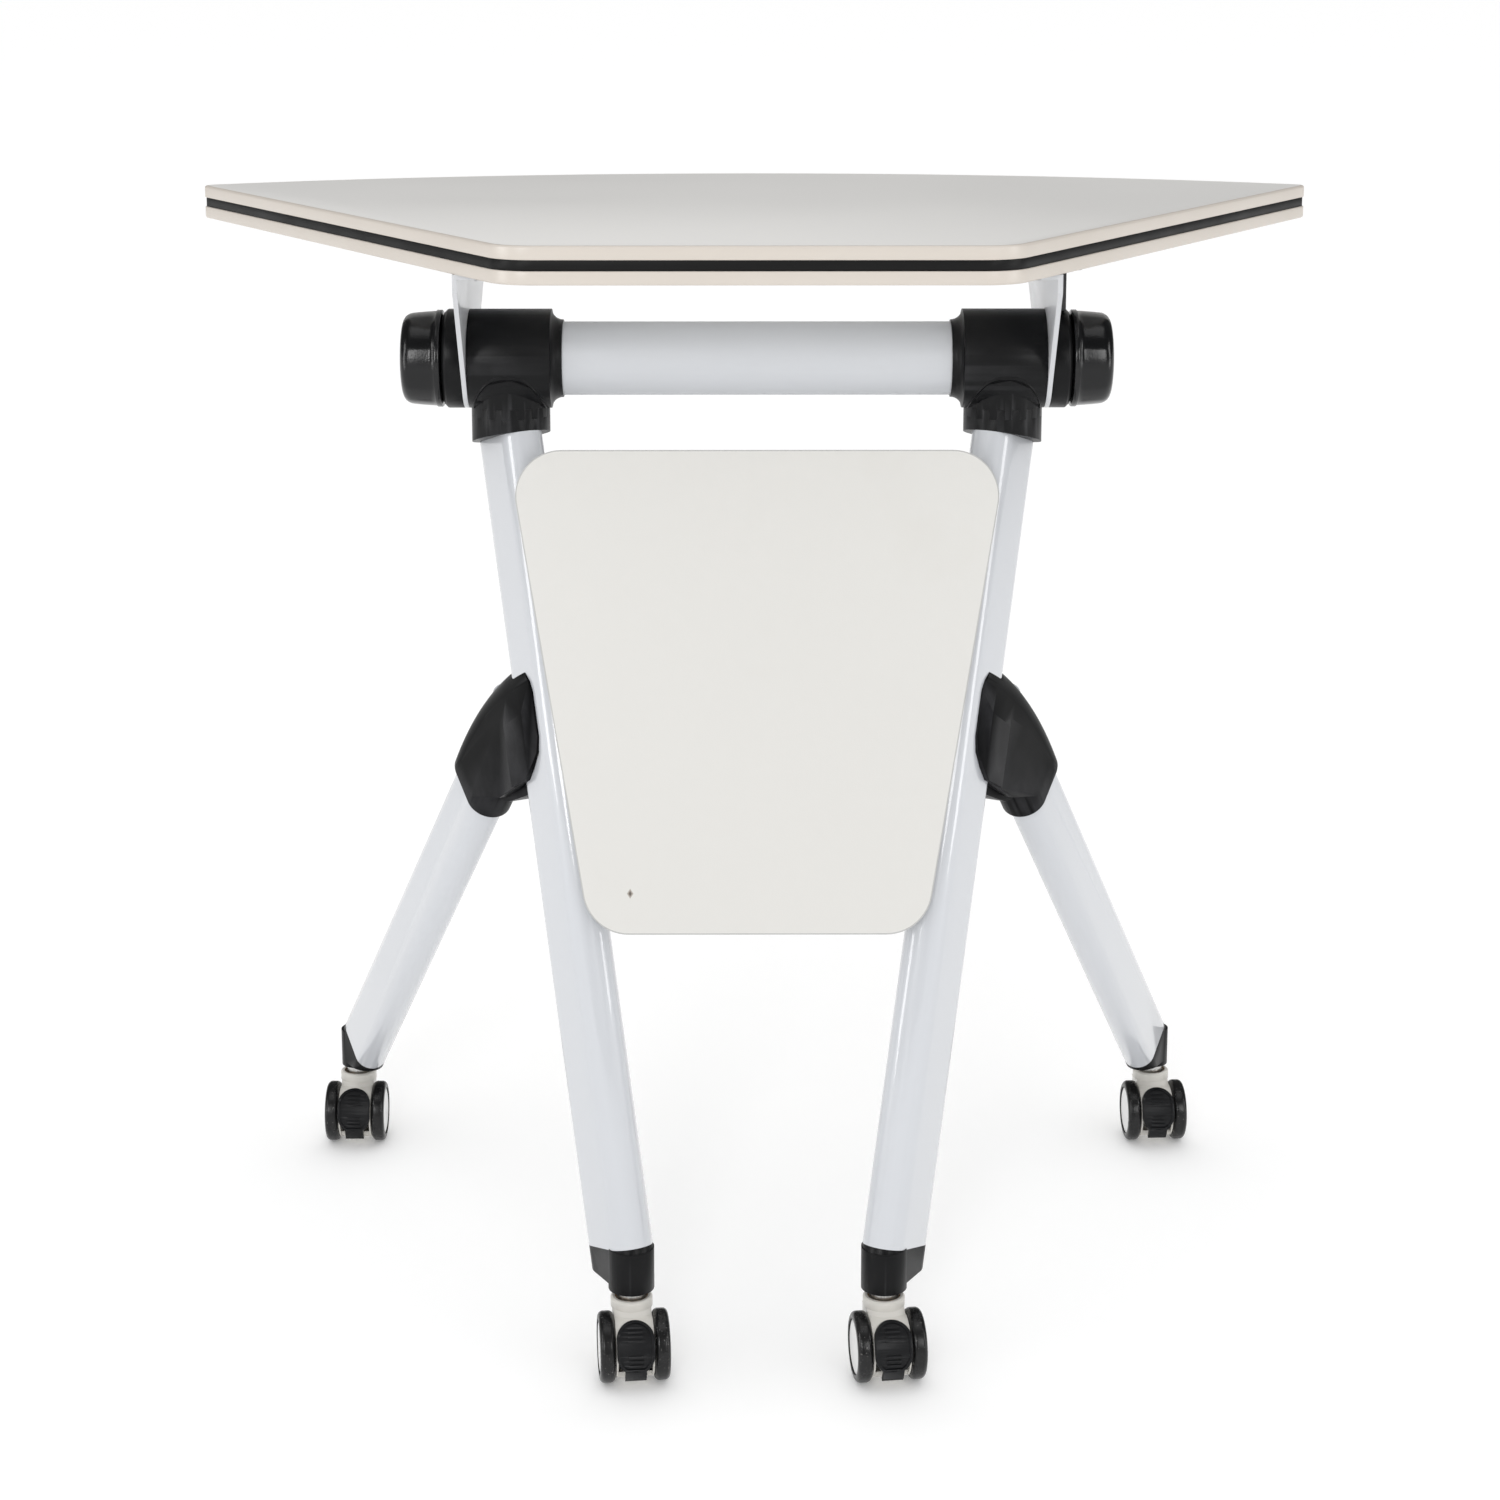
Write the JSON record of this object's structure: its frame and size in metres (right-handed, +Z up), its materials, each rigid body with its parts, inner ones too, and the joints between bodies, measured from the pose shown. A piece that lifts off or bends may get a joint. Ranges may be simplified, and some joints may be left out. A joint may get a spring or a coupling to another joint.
{
  "type": "student desk",
  "caption": "Sector-shaped student desk on splayed tube legs with twin-wheel castors, a modesty panel and a top that tips up on a cross beam.",
  "frame": {"origin": "on the floor under the middle of the part's box", "axes": "+Z up, -Y towards the short edge of the top and the modesty panel's face, +X to the right seen from that side"},
  "size_m": [0.8578, 0.6248, 0.76],
  "materials": {
    "top_laminate": "matte white laminate on board",
    "lipping": "satin cream lipping",
    "stripe": "satin black stripe",
    "panel_board": "matte white laminate",
    "powder_coat": "glossy pale grey powder coat",
    "black_plastic": "satin moulded black",
    "knob_plastic": "satin moulded black",
    "bracket_steel": "brushed plate",
    "black_paint": "satin black paint",
    "zinc_steel": "zinc plated",
    "hood_plastic": "satin cream",
    "tyre_rubber": "speckled dark tread",
    "hub_plastic": "satin white",
    "pedal_plastic": "satin black"
  },
  "bodies": {
    "frame": {"beam_tube": "powder_coat", "beam_plugs": "black_plastic", "clamp_studs": "zinc_steel", "coupling_bolts": "zinc_steel", "modesty_panel": "panel_board", "panel_clips": "zinc_steel", "panel_screws": "zinc_steel", "castor_stems": "zinc_steel", "t_joint_left": "black_plastic", "t_joint_right": "black_plastic", "index_cup_left": "black_plastic", "index_cup_right": "black_plastic", "front_leg_left": "powder_coat", "front_leg_right": "powder_coat", "rear_leg_left": "powder_coat", "rear_leg_right": "powder_coat", "leg_coupling_left": "black_plastic", "leg_coupling_right": "black_plastic", "front_foot_left": "black_plastic", "front_foot_right": "black_plastic", "rear_foot_left": "black_plastic", "rear_foot_right": "black_plastic"},
    "top": {"top_board": "top_laminate", "edge_lipping": "lipping", "edge_stripe": "stripe", "bracket_left": "bracket_steel", "bracket_right": "bracket_steel", "bracket_screws": "zinc_steel", "pivot_collars": "black_plastic", "stop_plate": "black_paint"},
    "knob_left": {"clamp_knob_left": "knob_plastic"},
    "knob_right": {"clamp_knob_right": "knob_plastic"},
    "front_left_castor": {"front_left_castor_hood": "hood_plastic", "front_left_axle": "zinc_steel"},
    "front_left_left_wheel": {"front_left_left_tyre": "tyre_rubber", "front_left_left_hub": "hub_plastic"},
    "front_left_right_wheel": {"front_left_right_tyre": "tyre_rubber", "front_left_right_hub": "hub_plastic"},
    "front_left_pedal": {"front_left_brake_pedal": "pedal_plastic"},
    "front_right_castor": {"front_right_castor_hood": "hood_plastic", "front_right_axle": "zinc_steel"},
    "front_right_left_wheel": {"front_right_left_tyre": "tyre_rubber", "front_right_left_hub": "hub_plastic"},
    "front_right_right_wheel": {"front_right_right_tyre": "tyre_rubber", "front_right_right_hub": "hub_plastic"},
    "front_right_pedal": {"front_right_brake_pedal": "pedal_plastic"},
    "rear_left_castor": {"rear_left_castor_hood": "hood_plastic", "rear_left_axle": "zinc_steel"},
    "rear_left_left_wheel": {"rear_left_left_tyre": "tyre_rubber", "rear_left_left_hub": "hub_plastic"},
    "rear_left_right_wheel": {"rear_left_right_tyre": "tyre_rubber", "rear_left_right_hub": "hub_plastic"},
    "rear_left_pedal": {"rear_left_brake_pedal": "pedal_plastic"},
    "rear_right_castor": {"rear_right_castor_hood": "hood_plastic", "rear_right_axle": "zinc_steel"},
    "rear_right_left_wheel": {"rear_right_left_tyre": "tyre_rubber", "rear_right_left_hub": "hub_plastic"},
    "rear_right_right_wheel": {"rear_right_right_tyre": "tyre_rubber", "rear_right_right_hub": "hub_plastic"},
    "rear_right_pedal": {"rear_right_brake_pedal": "pedal_plastic"}
  },
  "joints": [
    {"name": "top_flip", "type": "hinge", "parent": "frame", "child": "top", "pos_m": [0, -0.12705, 0.6687], "axis": [1, 0, 0], "range_deg": [0, 90]},
    {"name": "knob_left_turn", "type": "hinge", "parent": "frame", "child": "knob_left", "pos_m": [-0.226, -0.12705, 0.6687], "axis": [1, 0, 0], "range_deg": [0, 180]},
    {"name": "knob_right_turn", "type": "hinge", "parent": "frame", "child": "knob_right", "pos_m": [0.226, -0.12705, 0.6687], "axis": [1, 0, 0], "range_deg": [0, 180]},
    {"name": "front_left_swivel", "type": "hinge", "parent": "frame", "child": "front_left_castor", "pos_m": [-0.085, -0.27081, 0.055], "axis": [0, 0, 1], "continuous": true},
    {"name": "front_left_left_roll", "type": "hinge", "parent": "front_left_castor", "child": "front_left_left_wheel", "pos_m": [-0.10148, -0.28778, 0.0235], "axis": [0.9936, 0.1132, 0], "continuous": true},
    {"name": "front_left_right_roll", "type": "hinge", "parent": "front_left_castor", "child": "front_left_right_wheel", "pos_m": [-0.06512, -0.28364, 0.0235], "axis": [0.9936, 0.1132, 0], "continuous": true},
    {"name": "front_left_brake", "type": "hinge", "parent": "front_left_castor", "child": "front_left_pedal", "pos_m": [-0.08183, -0.29863, 0.027], "axis": [-0.9936, -0.1132, 0], "range_deg": [0, 8]},
    {"name": "front_right_swivel", "type": "hinge", "parent": "frame", "child": "front_right_castor", "pos_m": [0.085, -0.27081, 0.055], "axis": [0, 0, 1], "continuous": true},
    {"name": "front_right_left_roll", "type": "hinge", "parent": "front_right_castor", "child": "front_right_left_wheel", "pos_m": [0.06897, -0.28821, 0.0235], "axis": [0.9903, 0.1392, 0], "continuous": true},
    {"name": "front_right_right_roll", "type": "hinge", "parent": "front_right_castor", "child": "front_right_right_wheel", "pos_m": [0.10521, -0.28312, 0.0235], "axis": [0.9903, 0.1392, 0], "continuous": true},
    {"name": "front_right_brake", "type": "hinge", "parent": "front_right_castor", "child": "front_right_pedal", "pos_m": [0.0889, -0.29854, 0.027], "axis": [-0.9903, -0.1392, 0], "range_deg": [0, 8]},
    {"name": "rear_left_swivel", "type": "hinge", "parent": "frame", "child": "rear_left_castor", "pos_m": [-0.32, 0.13622, 0.055], "axis": [0, 0, 1], "continuous": true},
    {"name": "rear_left_left_roll", "type": "hinge", "parent": "rear_left_castor", "child": "rear_left_left_wheel", "pos_m": [-0.3383, 0.12122, 0.0235], "axis": [1, 0, 0], "continuous": true},
    {"name": "rear_left_right_roll", "type": "hinge", "parent": "rear_left_castor", "child": "rear_left_right_wheel", "pos_m": [-0.3017, 0.12122, 0.0235], "axis": [1, 0, 0], "continuous": true},
    {"name": "rear_left_brake", "type": "hinge", "parent": "rear_left_castor", "child": "rear_left_pedal", "pos_m": [-0.32, 0.10822, 0.027], "axis": [-1, 0, 0], "range_deg": [0, 8]},
    {"name": "rear_right_swivel", "type": "hinge", "parent": "frame", "child": "rear_right_castor", "pos_m": [0.32, 0.13622, 0.055], "axis": [0, 0, 1], "continuous": true},
    {"name": "rear_right_left_roll", "type": "hinge", "parent": "rear_right_castor", "child": "rear_right_left_wheel", "pos_m": [0.30251, 0.12029, 0.0235], "axis": [0.9986, 0.0523, 0], "continuous": true},
    {"name": "rear_right_right_roll", "type": "hinge", "parent": "rear_right_castor", "child": "rear_right_right_wheel", "pos_m": [0.33906, 0.1222, 0.0235], "axis": [0.9986, 0.0523, 0], "continuous": true},
    {"name": "rear_right_brake", "type": "hinge", "parent": "rear_right_castor", "child": "rear_right_pedal", "pos_m": [0.32147, 0.10826, 0.027], "axis": [-0.9986, -0.0523, 0], "range_deg": [0, 8]}
  ]
}
